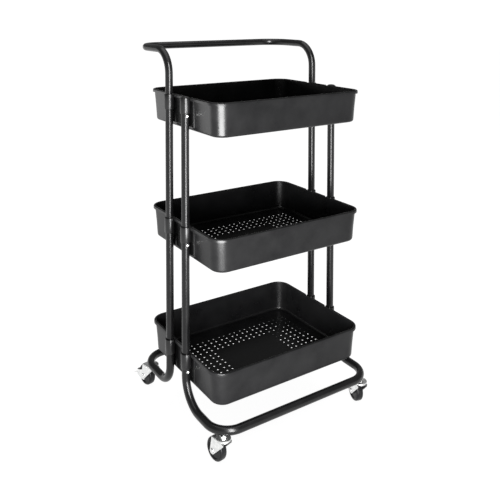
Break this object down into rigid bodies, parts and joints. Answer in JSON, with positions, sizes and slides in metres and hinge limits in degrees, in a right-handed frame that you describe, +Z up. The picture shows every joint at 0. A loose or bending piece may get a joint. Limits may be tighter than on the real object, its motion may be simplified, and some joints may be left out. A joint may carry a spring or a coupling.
{
  "type": "three-tier rolling utility cart",
  "caption": "Rolling utility cart: stacked rectangular trays with perforated floors between tube posts, a bent-back push handle and swivel casters, brakes at the rear",
  "frame": {"origin": "on the floor, under the middle of the trays", "axes": "+X along the long side of the trays, +Y towards the handle side (rear), +Z up; the front-left post is at -X -Y"},
  "size_m": [0.4544, 0.4325, 0.8863],
  "materials": {
    "powder_coat": "satin black powder coat",
    "bright_zinc": "bright zinc plating",
    "wheel_plastic": "dark grey moulded wheel, slightly glossy tread",
    "cap_plastic": "black moulded cap"
  },
  "bodies": {
    "frame": {"tray_top": "powder_coat", "tray_middle": "powder_coat", "tray_bottom": "powder_coat", "bracket_top_left": "powder_coat", "bracket_top_right": "powder_coat", "bracket_middle_left": "powder_coat", "bracket_middle_right": "powder_coat", "bracket_bottom_left": "powder_coat", "bracket_bottom_right": "powder_coat", "base_tube_front": "powder_coat", "base_tube_rear": "powder_coat", "post_lower_front_left": "powder_coat", "post_lower_front_right": "powder_coat", "post_lower_rear_left": "powder_coat", "post_lower_rear_right": "powder_coat", "post_upper_front_left": "powder_coat", "post_upper_front_right": "powder_coat", "post_upper_rear_left": "powder_coat", "post_upper_rear_right": "powder_coat", "handle_tube": "powder_coat", "post_cap_left": "cap_plastic", "post_cap_right": "cap_plastic", "screw_top_front_left": "bright_zinc", "screw_top_front_right": "bright_zinc", "screw_top_rear_left": "bright_zinc", "screw_top_rear_right": "bright_zinc", "screw_middle_front_left": "bright_zinc", "screw_middle_front_right": "bright_zinc", "screw_middle_rear_left": "bright_zinc", "screw_middle_rear_right": "bright_zinc", "screw_bottom_front_left": "bright_zinc", "screw_bottom_front_right": "bright_zinc", "screw_bottom_rear_left": "bright_zinc", "screw_bottom_rear_right": "bright_zinc", "caster_stem_front_left": "bright_zinc", "caster_nut_front_left": "bright_zinc", "caster_stem_front_right": "bright_zinc", "caster_nut_front_right": "bright_zinc", "caster_stem_rear_left": "bright_zinc", "caster_nut_rear_left": "bright_zinc", "caster_stem_rear_right": "bright_zinc", "caster_nut_rear_right": "bright_zinc"},
    "swivel_front_left": {"caster_fork_front_left": "bright_zinc", "caster_axle_front_left": "bright_zinc"},
    "wheel_front_left": {"caster_wheel_front_left": "wheel_plastic"},
    "swivel_front_right": {"caster_fork_front_right": "bright_zinc", "caster_axle_front_right": "bright_zinc"},
    "wheel_front_right": {"caster_wheel_front_right": "wheel_plastic"},
    "swivel_rear_left": {"caster_fork_rear_left": "bright_zinc", "caster_axle_rear_left": "bright_zinc"},
    "wheel_rear_left": {"caster_wheel_rear_left": "wheel_plastic"},
    "brake_rear_left": {"brake_lever_rear_left": "bright_zinc"},
    "swivel_rear_right": {"caster_fork_rear_right": "bright_zinc", "caster_axle_rear_right": "bright_zinc"},
    "wheel_rear_right": {"caster_wheel_rear_right": "wheel_plastic"},
    "brake_rear_right": {"brake_lever_rear_right": "bright_zinc"}
  },
  "joints": [
    {"name": "swivel_turn_front_left", "type": "hinge", "parent": "frame", "child": "swivel_front_left", "pos_m": [-0.19779, -0.17244, 0.0656], "axis": [0, 0, 1], "continuous": true},
    {"name": "wheel_roll_front_left", "type": "hinge", "parent": "swivel_front_left", "child": "wheel_front_left", "pos_m": [-0.20085, -0.15066, 0.0254], "axis": [-0.9903, -0.1392, 0], "continuous": true},
    {"name": "swivel_turn_front_right", "type": "hinge", "parent": "frame", "child": "swivel_front_right", "pos_m": [0.19779, -0.17244, 0.0656], "axis": [0, 0, 1], "continuous": true},
    {"name": "wheel_roll_front_right", "type": "hinge", "parent": "swivel_front_right", "child": "wheel_front_right", "pos_m": [0.20385, -0.15129, 0.0254], "axis": [-0.9613, 0.2756, 0], "continuous": true},
    {"name": "swivel_turn_rear_left", "type": "hinge", "parent": "frame", "child": "swivel_rear_left", "pos_m": [-0.2004, 0.17, 0.0656], "axis": [0, 0, 1], "continuous": true},
    {"name": "wheel_roll_rear_left", "type": "hinge", "parent": "swivel_rear_left", "child": "wheel_rear_left", "pos_m": [-0.20422, 0.19167, 0.0254], "axis": [-0.9848, -0.1736, 0], "continuous": true},
    {"name": "brake_press_rear_left", "type": "hinge", "parent": "swivel_rear_left", "child": "brake_rear_left", "pos_m": [-0.20223, 0.18034, 0.0511], "axis": [-0.9848, -0.1736, 0], "range_deg": [0, 5]},
    {"name": "swivel_turn_rear_right", "type": "hinge", "parent": "frame", "child": "swivel_rear_right", "pos_m": [0.2004, 0.17, 0.0656], "axis": [0, 0, 1], "continuous": true},
    {"name": "wheel_roll_rear_right", "type": "hinge", "parent": "swivel_rear_right", "child": "wheel_rear_right", "pos_m": [0.2027, 0.19188, 0.0254], "axis": [-0.9945, 0.1045, 0], "continuous": true},
    {"name": "brake_press_rear_right", "type": "hinge", "parent": "swivel_rear_right", "child": "brake_rear_right", "pos_m": [0.2015, 0.18045, 0.0511], "axis": [-0.9945, 0.1045, 0], "range_deg": [0, 5]}
  ]
}
